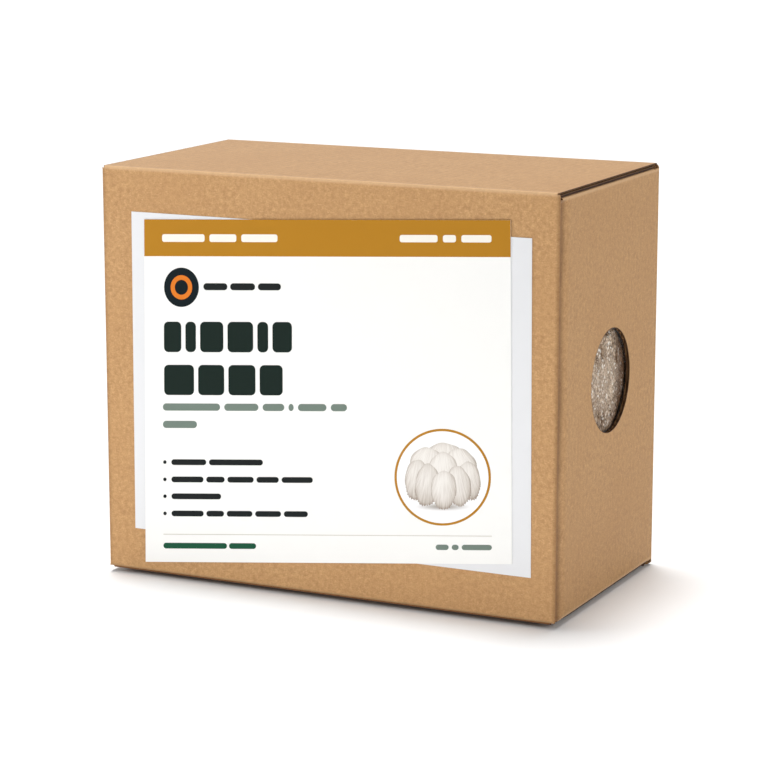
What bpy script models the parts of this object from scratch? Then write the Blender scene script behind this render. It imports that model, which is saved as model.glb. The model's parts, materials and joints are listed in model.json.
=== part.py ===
"""A boxed mushroom grow kit: a tuck-end corrugated carton that holds a colonised growing block.

Metres, +Z up. The origin is the middle of the carton's base, and the labelled front faces -Y.
The lid is creased to the top edge of the front, and the round window is in the +X side.
"""

import math

import bmesh
import bpy
from mathutils import Matrix, Vector

# Outside of the carton, closed
WIDTH = 0.200
DEPTH = 0.108
HEIGHT = 0.170

# Corrugated board, and the space that neighbouring pieces keep
BOARD = 0.0016
GAP = 0.0003
CREASE_RADIUS = 0.0012

# Flaps that close the two ends
SIDE_INSET = 0.0004
TUCK_LENGTH = 0.020
TUCK_SIDE_CLEARANCE = 0.0024
TUCK_CORNER = 0.008
TUCK_LEAN = math.radians(6.0)
BACK_TOP_DROP = 0.0004
DUST_FLAP_LENGTH = 0.058
DUST_FLAP_SHOULDER = 0.006
DUST_FLAP_FRONT_CLEARANCE = 0.001
DUST_FLAP_BACK_CLEARANCE = 0.0034
GLUE_FLAP_WIDTH = 0.034
GLUE_FLAP_TAPER = 0.008
GLUE_FLAP_END_ROOM = 0.0032

# Round window in the right side
WINDOW_RADIUS = 0.021
WINDOW_CENTRE_Y = 0.0023
WINDOW_CENTRE_Z = 0.0884
WINDOW_SEGMENTS = 64

# Labels on the front: their corners as x and z, clockwise from the top left.
# The printed one is stuck crooked over the backing, and is cut a little out of square.
LABEL_THICKNESS = 0.0002
LABEL_GAP = 0.0001
BACKING_CORNERS = ((-0.0864, 0.1520), (0.0889, 0.1523), (0.0899, 0.0198), (-0.0873, 0.0199))
PRINTED_CORNERS = ((-0.0803, 0.1492), (0.0802, 0.1587), (0.0821, 0.0245), (-0.0825, 0.0060))

# Growing block, its film bag and the bag's breathing patch
BLOCK_HEIGHT = 0.139
BLOCK_ROUNDING = 0.013
BLOCK_ROUNDING_SEGMENTS = 4
FILM = 0.0002
WINDOW_SIDE_ROOM = 0.0007
FRONT_BACK_ROOM = 0.0005
FOLD_SIZE = (0.150, 0.034, 0.0045)
FOLD_CENTRE_Y = 0.012
FOLD_ROUNDING = 0.002
MOUTH_SIZE = (0.120, 0.0015)
PATCH_SIDE = 0.038
PATCH_CORNER = 0.004
PATCH_THICKNESS = 0.0002
PATCH_CENTRE_Y = -0.026

ARC_SEGMENTS = 6

# Heights and inner faces that follow from the sizes above
WALL_LOW = BOARD + GAP
WALL_HIGH = HEIGHT - BOARD - GAP
INSIDE_X = WIDTH / 2 - BOARD
INSIDE_Y = DEPTH / 2 - BOARD
FRONT_Y = -DEPTH / 2


def clear_scene():
    """Removes every object, so that the model starts from an empty scene."""
    for obj in list(bpy.data.objects):
        bpy.data.objects.remove(obj, do_unlink=True)


def new_collection(name, hidden=False):
    """A collection under the scene's own. A hidden one holds cutters."""
    made = bpy.data.collections.new(name)
    made.hide_render = hidden
    bpy.context.scene.collection.children.link(made)
    return made


def new_material(name, colour, roughness, alpha=1.0):
    """A plain Principled material."""
    made = bpy.data.materials.new(name)
    made.use_nodes = True
    shader = made.node_tree.nodes["Principled BSDF"]
    shader.inputs["Base Color"].default_value = (*colour, 1.0)
    shader.inputs["Roughness"].default_value = roughness
    shader.inputs["Metallic"].default_value = 0.0
    shader.inputs["Alpha"].default_value = alpha
    return made


def new_object(name, data, material, collection):
    """An object of its own for one mesh or curve."""
    made = bpy.data.objects.new(name, data)
    data.materials.append(material)
    collection.objects.link(made)
    return made


def block_mesh(name, size):
    """A cuboid mesh of this size, centred on its origin."""
    made = bpy.data.meshes.new(name)
    shape = bmesh.new()
    bmesh.ops.create_cube(shape, size=1.0, matrix=Matrix.Diagonal((*size, 1.0)))
    shape.to_mesh(made)
    shape.free()
    return made


def add_box(name, low, high, material, collection):
    """A flat board or other cuboid between two corners."""
    low = Vector(low)
    high = Vector(high)
    made = new_object(name, block_mesh(name, high - low), material, collection)
    made.location = (low + high) / 2
    return made


def round_edges(obj, along, outer, radius=CREASE_RADIUS):
    """Rounds a cuboid's edges that run along one axis, on the sides that the outer direction faces."""
    axis = "xyz".index(along)
    shape = bmesh.new()
    shape.from_mesh(obj.data)
    chosen = []
    for edge in shape.edges:
        start, end = (v.co for v in edge.verts)
        if start[axis] != end[axis] and (start + end).dot(Vector(outer)) > 0:
            chosen.append(edge)
    bmesh.ops.bevel(shape, geom=chosen, offset=radius, segments=ARC_SEGMENTS, profile=0.5, affect="EDGES")
    shape.to_mesh(obj.data)
    shape.free()


def corner_arc(centre, radius, start, turn):
    """Points of a corner's arc, from the start angle through the turn."""
    angles = [start + turn * i / ARC_SEGMENTS for i in range(ARC_SEGMENTS + 1)]
    return [(centre[0] + radius * math.cos(a), centre[1] + radius * math.sin(a)) for a in angles]


def flap_outline(width, length, shoulder, corner):
    """A flap's outline: its crease lies on the X axis, and it narrows by the shoulder on each side."""
    half = width / 2
    tip = half - shoulder
    right = corner_arc((tip - corner, length - corner), corner, 0.0, math.pi / 2)
    left = corner_arc((corner - tip, length - corner), corner, math.pi / 2, math.pi / 2)
    return [(half, 0.0), *right, *left, (-half, 0.0)]


def rounded_square(side, corner):
    """The outline of a square with rounded corners, centred on its origin."""
    reach = side / 2 - corner
    corners = ((reach, reach), (-reach, reach), (-reach, -reach), (reach, -reach))
    outline = []
    for i, centre in enumerate(corners):
        outline += corner_arc(centre, corner, i * math.pi / 2, math.pi / 2)
    return outline


def add_sheet(name, outline, thickness, matrix, material, collection):
    """A flat sheet with this outline in its own XY plane, half its thickness to each side."""
    data = bpy.data.curves.new(name, "CURVE")
    data.dimensions = "2D"
    data.fill_mode = "BOTH"
    data.extrude = thickness / 2
    line = data.splines.new("POLY")
    line.points.add(len(outline) - 1)
    for point, (x, y) in zip(line.points, outline):
        point.co = (x, y, 0.0, 1.0)
    line.use_cyclic_u = True
    made = new_object(name, data, material, collection)
    made.matrix_world = matrix
    return made


def facing(position, across, along):
    """A matrix that puts a sheet's origin at position, its X along across and its Y along along."""
    x = Vector(across).normalized()
    y = Vector(along).normalized()
    turned = Matrix((x, y, x.cross(y))).transposed().to_4x4()
    return Matrix.Translation(position) @ turned


def boolean(obj, other, operation):
    """Cuts or joins obj with other, with the exact solver."""
    step = obj.modifiers.new(f"{operation.lower()} {other.name}", "BOOLEAN")
    step.operation = operation
    step.solver = "EXACT"
    step.object = other


def as_helper(obj):
    """Marks an object that only shapes another one."""
    obj.hide_render = True
    obj.display_type = "WIRE"
    return obj


def add_walls(parts, cutters, board, cutter_material):
    """The four walls. The front and back run over the ends of the two sides."""
    half_x = WIDTH / 2
    half_y = DEPTH / 2
    front_low = (-half_x, -half_y, WALL_LOW)
    front_high = (half_x, -INSIDE_Y, WALL_HIGH)
    front = add_box("front_panel", front_low, front_high, board, parts)
    back_low = (-half_x, INSIDE_Y, 0.0)
    back_high = (half_x, half_y, HEIGHT - BACK_TOP_DROP)
    back = add_box("back_panel", back_low, back_high, board, parts)
    round_edges(front, "z", (0, -1, 0))
    round_edges(back, "z", (0, 1, 0))
    side_y = INSIDE_Y - GAP
    sides = {}
    for name, side in (("left_panel", -1), ("right_panel", 1)):
        near, far = sorted((side * INSIDE_X, side * half_x))
        sides[name] = add_box(name, (near, -side_y, WALL_LOW), (far, side_y, WALL_HIGH), board, parts)
        round_edges(sides[name], "y", (side, 0, 0))
    cut_window(sides["right_panel"], cutters, cutter_material)


def cut_window(wall, cutters, cutter_material):
    """The round window, cut straight through the side wall."""
    shape = bmesh.new()
    bmesh.ops.create_cone(
        shape,
        cap_ends=True,
        segments=WINDOW_SEGMENTS,
        radius1=WINDOW_RADIUS,
        radius2=WINDOW_RADIUS,
        depth=4 * BOARD,
        matrix=Matrix.Rotation(math.pi / 2, 4, "Y"),
    )
    data = bpy.data.meshes.new("window_cutter")
    shape.to_mesh(data)
    shape.free()
    cutter = as_helper(new_object("window_cutter", data, cutter_material, cutters))
    cutter.location = (WIDTH / 2 - BOARD / 2, WINDOW_CENTRE_Y, WINDOW_CENTRE_Z)
    boolean(wall, cutter, "DIFFERENCE")


def add_glue_flap(parts, board):
    """The glued seam: a flap from the back wall, on the inside of the left wall."""
    height = WALL_HIGH - WALL_LOW - 2 * GLUE_FLAP_END_ROOM
    outline = flap_outline(height, GLUE_FLAP_WIDTH, GLUE_FLAP_TAPER, CREASE_RADIUS)
    x = -INSIDE_X + GAP + BOARD / 2
    place = facing((x, INSIDE_Y - GAP, HEIGHT / 2), (0, 0, 1), (0, -1, 0))
    add_sheet("glue_flap", outline, BOARD, place, board, parts)


def tuck_outline():
    """A tuck flap's outline, round at its two free corners."""
    width = 2 * (INSIDE_X - TUCK_SIDE_CLEARANCE)
    return flap_outline(width, TUCK_LENGTH, 0.0, TUCK_CORNER)


def tuck_place(crease_z, direction):
    """Where a tuck flap hangs from its crease. It leans inward, so that it clears the back wall."""
    lean = Vector((0.0, -math.sin(TUCK_LEAN), direction * math.cos(TUCK_LEAN)))
    thickness_y = BOARD / 2 / math.cos(TUCK_LEAN)
    crease = Vector((0.0, INSIDE_Y - GAP - thickness_y, crease_z))
    return facing(crease, (1, 0, 0), lean)


def add_floor(parts, board):
    """The bottom panel, creased to the front wall, and its tuck flap inside the back wall."""
    half_x = WIDTH / 2 - SIDE_INSET
    low = (-half_x, FRONT_Y, 0.0)
    high = (half_x, INSIDE_Y - GAP, BOARD)
    floor = add_box("bottom_panel", low, high, board, parts)
    round_edges(floor, "x", (0, 0, -1))
    place = tuck_place(BOARD + GAP + BOARD / 2 * math.sin(TUCK_LEAN), 1)
    add_sheet("bottom_tuck_flap", tuck_outline(), BOARD, place, board, parts)


def add_dust_flaps(parts, board):
    """Two flaps at each end, folded in from the side walls, under the lid and over the bottom."""
    front = -INSIDE_Y + GAP + DUST_FLAP_FRONT_CLEARANCE
    back = INSIDE_Y - DUST_FLAP_BACK_CLEARANCE
    outline = flap_outline(back - front, DUST_FLAP_LENGTH, DUST_FLAP_SHOULDER, TUCK_CORNER)
    middle_y = (front + back) / 2
    levels = {"top": WALL_HIGH - BOARD / 2, "bottom": WALL_LOW + BOARD / 2}
    for end, z in levels.items():
        for hand, side in (("left", -1), ("right", 1)):
            crease = (side * (INSIDE_X - GAP), middle_y, z)
            place = facing(crease, (0, 1, 0), (-side, 0, 0))
            add_sheet(f"{end}_dust_flap_{hand}", outline, BOARD, place, board, parts)


def add_lid(parts, board):
    """The lid and its tuck flap, hung from an empty on the crease along the front's top edge."""
    hinge = bpy.data.objects.new("lid_hinge", None)
    hinge.location = (0.0, FRONT_Y, HEIGHT)
    parts.objects.link(hinge)
    half_x = WIDTH / 2 - SIDE_INSET
    low = (-half_x, FRONT_Y, HEIGHT - BOARD)
    high = (half_x, INSIDE_Y - GAP, HEIGHT)
    lid = add_box("lid_panel", low, high, board, parts)
    round_edges(lid, "x", (0, 0, 1))
    place = tuck_place(HEIGHT - BOARD - GAP - BOARD / 2 * math.sin(TUCK_LEAN), -1)
    tuck = add_sheet("lid_tuck_flap", tuck_outline(), BOARD, place, board, parts)
    bpy.context.view_layer.update()
    for piece in (lid, tuck):
        piece.parent = hinge
        piece.matrix_parent_inverse = hinge.matrix_world.inverted()


def add_labels(parts):
    """The backing label on the front wall, and the printed one over it."""
    plain = new_material("backing_paper", (0.83, 0.83, 0.86), 0.5)
    printed = new_material("printed_paper", (0.93, 0.92, 0.88), 0.5)
    labels = (("backing_label", BACKING_CORNERS, plain), ("printed_label", PRINTED_CORNERS, printed))
    y = FRONT_Y - LABEL_GAP - LABEL_THICKNESS / 2
    for name, corners, paper in labels:
        place = facing((0.0, y, 0.0), (1, 0, 0), (0, 0, 1))
        add_sheet(name, corners, LABEL_THICKNESS, place, paper, parts)
        y -= LABEL_GAP + LABEL_THICKNESS


def block_bounds():
    """Lowest and highest corner of the growing block, inside the film and clear of every flap."""
    room = GAP + FILM
    flap_thickness = GAP + BOARD
    low = Vector((
        -INSIDE_X + flap_thickness + GAP + room,
        -INSIDE_Y + FRONT_BACK_ROOM + room,
        WALL_LOW + BOARD + GAP + room,
    ))
    tuck_reach = flap_thickness + TUCK_LENGTH * math.sin(TUCK_LEAN)
    high = Vector((
        INSIDE_X - WINDOW_SIDE_ROOM - room,
        INSIDE_Y - tuck_reach - FRONT_BACK_ROOM - room,
        low.z + BLOCK_HEIGHT,
    ))
    return low, high


def rounded_solid(name, low, high, rounding, material, collection):
    """A cuboid with all its edges rounded."""
    made = add_box(name, low, high, material, collection)
    step = made.modifiers.new("rounding", "BEVEL")
    step.width = rounding
    step.segments = BLOCK_ROUNDING_SEGMENTS
    return made


def grown(low, high, by):
    """The bounds moved out by the same amount on every side."""
    reach = Vector((by, by, by))
    return low - reach, high + reach


def add_block(parts, substrate):
    """The growing block: sawdust bound by mycelium, one solid with soft edges."""
    low, high = block_bounds()
    block = rounded_solid("substrate_block", low, high, BLOCK_ROUNDING, substrate, parts)
    block.data.shade_smooth()


def add_bag(parts, cutters, film_material, cutter_material):
    """The film bag: a thin skin round the block, with its gathered top folded flat over it."""
    low, high = block_bounds()
    inner = grown(low, high, GAP)
    outer = grown(low, high, GAP + FILM)
    bag = rounded_solid("grow_bag", *outer, BLOCK_ROUNDING + GAP + FILM, film_material, parts)
    hollow = rounded_solid("bag_hollow", *inner, BLOCK_ROUNDING + GAP, cutter_material, cutters)
    top = outer[1].z
    fold_length, fold_width, fold_height = FOLD_SIZE
    fold = add_box(
        "bag_fold",
        (-fold_length / 2, FOLD_CENTRE_Y - fold_width / 2, top - FILM / 2),
        (fold_length / 2, FOLD_CENTRE_Y + fold_width / 2, top + fold_height),
        cutter_material,
        cutters,
    )
    round_edges(fold, "x", (0, 0, 1), FOLD_ROUNDING)
    mouth_length, mouth_width = MOUTH_SIZE
    mouth = add_box(
        "bag_mouth",
        (-mouth_length / 2, FOLD_CENTRE_Y - mouth_width / 2, top - fold_height),
        (mouth_length / 2, FOLD_CENTRE_Y + mouth_width / 2, top + 2 * fold_height),
        cutter_material,
        cutters,
    )
    for helper, operation in ((fold, "UNION"), (hollow, "DIFFERENCE"), (mouth, "DIFFERENCE")):
        boolean(bag, as_helper(helper), operation)
    return top


def add_patch(bag_top, parts, fleece):
    """The breathing patch, flat on the bag's top in front of the fold."""
    outline = rounded_square(PATCH_SIDE, PATCH_CORNER)
    z = bag_top + GAP + PATCH_THICKNESS / 2
    place = Matrix.Translation((0.0, PATCH_CENTRE_Y, z))
    add_sheet("filter_patch", outline, PATCH_THICKNESS, place, fleece, parts)


def main():
    clear_scene()
    parts = new_collection("mushroom_grow_kit")
    cutters = new_collection("cutters", hidden=True)
    board = new_material("kraft_board", (0.49, 0.27, 0.11), 0.8)
    film = new_material("clear_film", (0.90, 0.92, 0.93), 0.15, alpha=0.3)
    fleece = new_material("filter_fleece", (0.90, 0.90, 0.88), 0.9)
    substrate = new_material("substrate", (0.50, 0.42, 0.33), 0.95)
    cutter_material = new_material("cutter", (0.8, 0.2, 0.2), 0.5)
    add_walls(parts, cutters, board, cutter_material)
    add_glue_flap(parts, board)
    add_floor(parts, board)
    add_dust_flaps(parts, board)
    add_lid(parts, board)
    add_labels(parts)
    add_block(parts, substrate)
    bag_top = add_bag(parts, cutters, film, cutter_material)
    add_patch(bag_top, parts, fleece)


main()
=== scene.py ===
"""Looks of the boxed mushroom grow kit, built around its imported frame.

The carton is corrugated board: two liners with a fluted layer between, cut and creased as one blank.
"""

import json
import math
import random
from functools import cache, partial

import bpy
import numpy as np
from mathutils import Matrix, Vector, noise

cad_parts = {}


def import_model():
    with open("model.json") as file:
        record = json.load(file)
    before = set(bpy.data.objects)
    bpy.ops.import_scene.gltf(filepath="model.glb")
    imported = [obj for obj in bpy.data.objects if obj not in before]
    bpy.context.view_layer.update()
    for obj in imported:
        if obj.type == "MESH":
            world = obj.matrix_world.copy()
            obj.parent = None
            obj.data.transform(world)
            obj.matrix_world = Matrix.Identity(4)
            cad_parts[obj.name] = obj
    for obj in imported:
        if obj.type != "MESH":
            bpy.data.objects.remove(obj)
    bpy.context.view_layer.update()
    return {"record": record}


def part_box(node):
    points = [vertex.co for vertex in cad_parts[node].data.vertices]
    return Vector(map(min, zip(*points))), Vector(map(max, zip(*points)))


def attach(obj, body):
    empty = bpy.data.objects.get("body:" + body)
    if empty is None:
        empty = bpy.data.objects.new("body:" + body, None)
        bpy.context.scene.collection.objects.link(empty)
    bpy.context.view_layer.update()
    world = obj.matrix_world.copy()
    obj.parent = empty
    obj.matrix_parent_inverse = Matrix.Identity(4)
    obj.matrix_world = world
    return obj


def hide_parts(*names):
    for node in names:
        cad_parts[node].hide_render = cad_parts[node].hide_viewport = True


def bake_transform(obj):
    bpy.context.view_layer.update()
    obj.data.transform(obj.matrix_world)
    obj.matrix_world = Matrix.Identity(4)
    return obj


MM = 0.001
X, Y, Z = np.eye(3)

# Corrugated board
BOARD = 1.6 * MM
LINER = 0.22 * MM
MEDIUM = 0.16 * MM
LAYER_GAP = 0.005 * MM
FLUTE_PITCH = 3.3 * MM
LINER_COLUMNS = 4
MEDIUM_COLUMNS = 6
WASHBOARD = 0.024 * MM
CRUSHED = 0.6 * MM
CRUSH_REACH = 1.6 * MM
CUT_FADE = 0.15 * MM
FOLD_RADIUS = 0.8 * MM
FOLD_BLEND = 0.4 * MM
TUCK_BEND = math.radians(96)
ROW_STEP = 9 * MM
FINE_STEP = 0.4 * MM
LEAST_STEP = 0.05 * MM

# Corners, flaps, and the small gaps round the closed ends
CORNER_RADIUS = 0.5 * MM
BACK_CORNER = 2.4 * MM
BACK_FOOT = 0.7
DUST_SHOULDER = 6 * MM
FLAP_CORNER = 8 * MM
LEAST_FLAP = 6.2 * MM
GLUE_TAPER = 8 * MM
LID_SLOT = 0.3 * MM
CREASE_INSET = 0.5 * MM
FLOOR_INSET = 1.5 * MM
FRONT_LIFT = 1.8 * MM
SIDE_LIFT = 0.5 * MM
SIDE_HEAD = 0.7 * MM
SAG_REACH = 12 * MM
SIDE_SAG_REACH = 8 * MM
FLAP_RISE_REACH = 2.5 * MM

# What fades out beside a crease or an edge: how much at most, up to where, and over what further reach
DIP_START = 1.8 * MM
SIDE_DIP = (0.9 * MM, 2.6 * MM, 7.4 * MM)
BACK_DIP = (0.2 * MM, DIP_START, DIP_START)
FLOOR_THINNING = (0.9 * MM, 1 * MM, 5 * MM)
WINDOW_DENT = (4 * MM, 22 * MM, 8 * MM)
# Painted shade along the score beside the front corner, with its wander, and just beyond the dust flaps'
# creases
SCORE_SHADE = (0.68, 2.4 * MM, 5 * MM)
SCORE_SHADE_WAVES = ((0.5 * MM, 11 * MM), (0.3 * MM, 4.3 * MM))
FLAP_SHADE = (1, 2 * MM, 3 * MM)

# The same for the painted shade that darkens a board at its two sides, and at its start
FRONT_EDGE_SHADE = ((0.4, 0, 2 * MM), (0.8, 0, 0.8 * MM))
LID_EDGE_SHADE = ((1, 0, 0.25 * MM), (0, 0, 1 * MM))
FLOOR_SHADE = ((1, 4 * MM, 8 * MM), (1, 8 * MM, 10 * MM))

# Round window, as in the frame's right panel
WALL_X = 0.1
CUTTER_LENGTH = 20 * MM
WINDOW_RADIUS = 21 * MM
WINDOW_CENTRE = (2.3 * MM, 88.4 * MM)
WINDOW_SEGMENTS = 160

# Labels: their corners' x and z in millimetres, clockwise from the top left
LABEL_PAPER = 0.2 * MM
LABEL_STEPS = 30
BACKING_INSET = 0.06 * MM
BACKING_CORNERS = ((-86.4, 152), (88.9, 152.3), (89.9, 19.8), (-87.3, 19.9))
PRINTED_CORNERS = ((-80.3, 149.2), (80.2, 158.7), (82.1, 24.5), (-82.5, 6))

# The print, in fractions of the front label from its top left corner
INK = 0.03 * MM
INK_INSET = 0.01 * MM
INKS = {
    "gold_ink": (0.45, 0.205, 0.014),
    "reversed_white": (0.9, 0.86, 0.78),
    "dark_green_ink": (0.006, 0.016, 0.012),
    "grey_green_ink": (0.17, 0.22, 0.185),
    "near_black_ink": (0.01, 0.013, 0.013),
    "disc_ink": (0.002, 0.008, 0.011),
    "orange_ink": (0.72, 0.19, 0.018),
    "green_ink": (0.01, 0.085, 0.042),
    "rule_ink": (0.62, 0.6, 0.54),
    "picture_white": (0.95, 0.95, 0.95),
}
ROUND_ASPECT = 1.13
DISC_CENTRE = (0.107, 0.194)
DISC_RADIUS = 0.05
DISC_RING = (DISC_RADIUS * 0.62, DISC_RADIUS * 0.24)
RING_CENTRE = (0.821, 0.744)
RING_RADIUS = 0.1262
RING_WIDTH = 0.0062
PICTURE_RADIUS = RING_RADIUS - RING_WIDTH

# Plain rectangles: left, top, right and low edge
RECTANGLES = (
    (0, 0, 1, 0.105, "gold_ink"),
    (0.052, 0.9158, 0.949, 0.9182, "rule_ink"),
)

# Lines of bars: left end, middle, height, share of the height that is a corner, ink, layer, gap, lengths
BARS = (
    (0.052, 0.053, 0.022, 0.3, "reversed_white", 2, 0.014, (0.122, 0.076, 0.101)),
    (0.711, 0.053, 0.021, 0.3, "reversed_white", 2, 0.014, (0.1, 0.034, 0.078)),
    (0.17, 0.192, 0.02, 0.5, "near_black_ink", 1, 0.008, (0.068, 0.07, 0.064)),
    (0.056, 0.337, 0.088, 0.16, "dark_green_ink", 1, 0.012, (0.05, 0.03, 0.066, 0.072, 0.03, 0.054)),
    (0.056, 0.462, 0.088, 0.16, "dark_green_ink", 1, 0.012, (0.086, 0.074, 0.076, 0.064)),
    (0.052, 0.541, 0.021, 0.5, "grey_green_ink", 1, 0.012, (0.164, 0.096, 0.06, 0.014, 0.078, 0.044)),
    (0.052, 0.592, 0.021, 0.5, "grey_green_ink", 1, 0.012, (0.098,)),
    (0.076, 0.703, 0.017, 0.5, "near_black_ink", 1, 0.008, (0.1, 0.152)),
    (0.076, 0.754, 0.017, 0.5, "near_black_ink", 1, 0.008, (0.092, 0.052, 0.074, 0.062, 0.086)),
    (0.076, 0.804, 0.017, 0.5, "near_black_ink", 1, 0.008, (0.142,)),
    (0.076, 0.855, 0.017, 0.5, "near_black_ink", 1, 0.008, (0.092, 0.05, 0.072, 0.072, 0.066)),
    (0.052, 0.951, 0.017, 0.5, "green_ink", 1, 0.006, (0.182, 0.076)),
    (0.803, 0.951, 0.016, 0.5, "grey_green_ink", 1, 0.008, (0.034, 0.018, 0.078)),
)
DOT_LEFT = 0.057
DOT_RADIUS = 0.0048
DOT_ROWS = (0.703, 0.754, 0.804, 0.855)

# Lobes of the pictured mushroom, back to front: centre and reach in picture radii, and a tilt
LOBES = (
    (0.05, -0.37, 0.44, 0.38, 0), (-0.36, -0.24, 0.36, 0.42, 0.25), (0.4, -0.22, 0.35, 0.41, -0.25),
    (-0.56, 0.05, 0.26, 0.44, 0.1), (0.58, 0.07, 0.25, 0.42, -0.12), (0.02, -0.1, 0.34, 0.44, 0),
    (-0.33, 0.17, 0.27, 0.46, 0.1), (0.36, 0.19, 0.26, 0.44, -0.1), (0.03, 0.27, 0.28, 0.42, 0.03),
)
LOBE_POINTS = 150
LOBE_STEP = 0.004 * MM
SPINE_SOURCE = 1.9
SHADOW_DEPTH = 1.1 * INK
SHADOW_MIDDLE = 0.64
SHADOW_REACH = (0.72, 0.11)

# The growing block, and blisters in its skin behind the window: y and z from the window's middle, reach
# across and up, and depth, in millimetres
BLOCK_STEP = 2.4 * MM
BLOCK_ROUNDING = 13 * MM
BLOCK_INSET = 1.3 * MM
PLUG_RADIUS = 20.6 * MM
PLUG_RINGS = 72
PLUG_SECTORS = 240
PLUG_CREST = 99.9 * MM
PLUG_BACK = 92 * MM
BLISTERS = (
    (-8.2, 13.4, 1.2, 3.2, 0.9), (8.7, 8, 1.2, 2.8, 0.9), (0.1, -1.5, 1.1, 2.6, -0.5),
    (-5.9, -15.1, 1.4, 3, 0.9), (-13.6, 11.1, 0.8, 2.2, 0.7), (-0.8, 19.5, 2.4, 1.6, 1.3),
    (-10.4, -13, 1, 1.8, 0.8), (4.5, 14.5, 0.9, 1.2, 0.6), (-13, -4, 0.7, 1.5, 0.5),
    (6, -8.5, 0.8, 1.5, 0.4), (-4, 4.5, 0.8, 1.3, -0.3), (2.5, -13.5, 0.9, 1.4, 0.4),
)

# Noise in the block's skin: height, size of its lumps, octaves and seed. The plug's has an inset first.
BLOCK_LUMPS = ((0.9 * MM, 34 * MM, 3, 3.1), (0.5 * MM, 7 * MM, 2, 9.4))
PLUG_LUMPS = (
    (0.16 * MM, 0.16 * MM, 5 * MM, 2, 5),
    (0.1 * MM, 0.1 * MM, 1.6 * MM, 2, 2),
    (0.1 * MM, 0.2 * MM, 1 * MM, 1, 7),
)

# The bag, its rolled top and its breathing patch
FILM = 0.08 * MM
BAG_STEP = 2.5 * MM
BAG_INSET = 1 * MM
BAG_GAP = 0.3 * MM
ROLL_LENGTH = 150 * MM
ROLL_WIDTH = 33 * MM
ROLL_MIDDLE = 12 * MM
ROLL_TURNS = 3
ROLL_STEPS = 26
ROLL_COLUMNS = 70
PATCH_STEPS = 60
PATCH_CORNER = 4 * MM
PATCH_BORDER = 4 * MM
PATCH_WELD = 0.1 * MM

# Camera, light and floor
CAMERA_PLACE = (0.4798, -0.9942, 0.3029)
CAMERA_YAW = math.radians(25.722)
CAMERA_PITCH = math.radians(11.491)
CAMERA_LENS = 127.58
CAMERA_SENSOR = 36
CAMERA_CLIP = (0.01, 100)
WORLD_LIGHT = 0.27
FLOOR_SIZE = 40
FLOOR_GAP = 0.02 * MM

# Lights: kind, power, the direction they shine from, place and size. A sun's place doesn't matter.
LIGHTS = {
    "overhead": ("SUN", 2.8, (-0.1, 0.12, 1), (0, 0, 0), {"angle": math.radians(20)}),
    "front_right": ("SUN", 0.7, (0.78, -0.38, 0.46), (0, 0, 0), {"angle": math.radians(30)}),
    "front_left": ("AREA", 1, (-0.5, -0.32, 0.15), (-0.5, -0.32, 0.22), {"size": 0.2, "size_y": 0.2}),
    "front_low": ("AREA", 0.125, (0, -0.31, 0), (0.03, -0.31, 0.015), {"size": 0.2, "size_y": 0.03}),
}


# Numbers and noise

def smooth(x):
    """0 up to 0, 1 from 1 on, and an even curve between."""
    x = np.clip(x, 0, 1)
    return x * x * (3 - 2 * x)


def fading(away, most, start, reach):
    """most up to start, 0 from one reach beyond it on, and an even curve between."""
    return most * (1 - smooth((away - start) / reach))


def turned(x, y, angle):
    """A flat place turned about the origin."""
    return x * math.cos(angle) - y * math.sin(angle), x * math.sin(angle) + y * math.cos(angle)


def lumps(points, size, octaves=3, seed=0):
    """Noise from about -1 to 1 at each point, whose largest lumps are size metres across."""
    shift = np.array([seed, seed * 0.7, -seed])
    places = points.reshape(-1, 3) / size + shift
    values = [noise.fractal(Vector(p), 1, 2.1, octaves) for p in places]
    return np.array(values).reshape(points.shape[:-1])


# Materials

class Graph:
    """Short calls that add nodes to one material."""

    def __init__(self, name, colour, roughness, shine=0.5):
        self.material = bpy.data.materials.new(name)
        self.material.use_nodes = True
        self.tree = self.material.node_tree
        self.set("Base Color", colour)
        self.set("Roughness", roughness)
        self.set("Specular IOR Level", shine)

    def join(self, value, socket):
        if isinstance(value, bpy.types.NodeSocket):
            self.tree.links.new(value, socket)
        else:
            socket.default_value = (*value, 1) if socket.type == "RGBA" else value

    def set(self, name, value):
        self.join(value, self.tree.nodes["Principled BSDF"].inputs[name])

    def add(self, kind, output, inputs=(), **settings):
        """One output of a new node, whose inputs are given by name or by number."""
        node = self.tree.nodes.new("ShaderNode" + kind)
        for key, value in settings.items():
            setattr(node, key, value)
        for key, value in dict(inputs).items():
            self.join(value, node.inputs[key])
        return node.outputs[output]

    def place(self):
        return self.add("TexCoord", "Object")

    def uv(self):
        return self.add("UVMap", "UV", uv_map="Board")

    def attribute(self, name):
        return self.add("Attribute", "Fac", attribute_name=name)

    def axis(self, vector, number):
        return self.add("SeparateXYZ", number, {"Vector": vector})

    def stretched(self, vector, scale, turn=0):
        inputs = {"Vector": vector, "Scale": scale, "Rotation": (0, 0, turn)}
        return self.add("Mapping", "Vector", inputs)

    def noise(self, vector, scale, detail=2, roughness=0.5):
        inputs = {"Vector": vector, "Scale": scale, "Detail": detail, "Roughness": roughness}
        return self.add("TexNoise", "Fac", inputs)

    def cells(self, vector, scale):
        return self.add("TexVoronoi", "Distance", {"Vector": vector, "Scale": scale})

    def math(self, operation, *values):
        return self.add("Math", "Value", enumerate(values), operation=operation)

    def span(self, value, low, high, out_low=0, out_high=1):
        return self.add("MapRange", "Result", enumerate((value, low, high, out_low, out_high)))

    def mix(self, factor, first, second, blend="MIX"):
        inputs = {0: factor, 6: first, 7: second}
        return self.add("Mix", 2, inputs, data_type="RGBA", blend_type=blend)

    def coats(self, tone, coats):
        """The tone under colours that each cover it as far as a value's span says."""
        for value, span, colour in coats:
            tone = self.mix(self.span(value, *span), tone, colour)
        return tone

    def bump(self, height, depth, strength):
        inputs = {"Height": height, "Distance": depth, "Strength": strength}
        self.set("Normal", self.add("Bump", "Normal", inputs))


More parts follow.
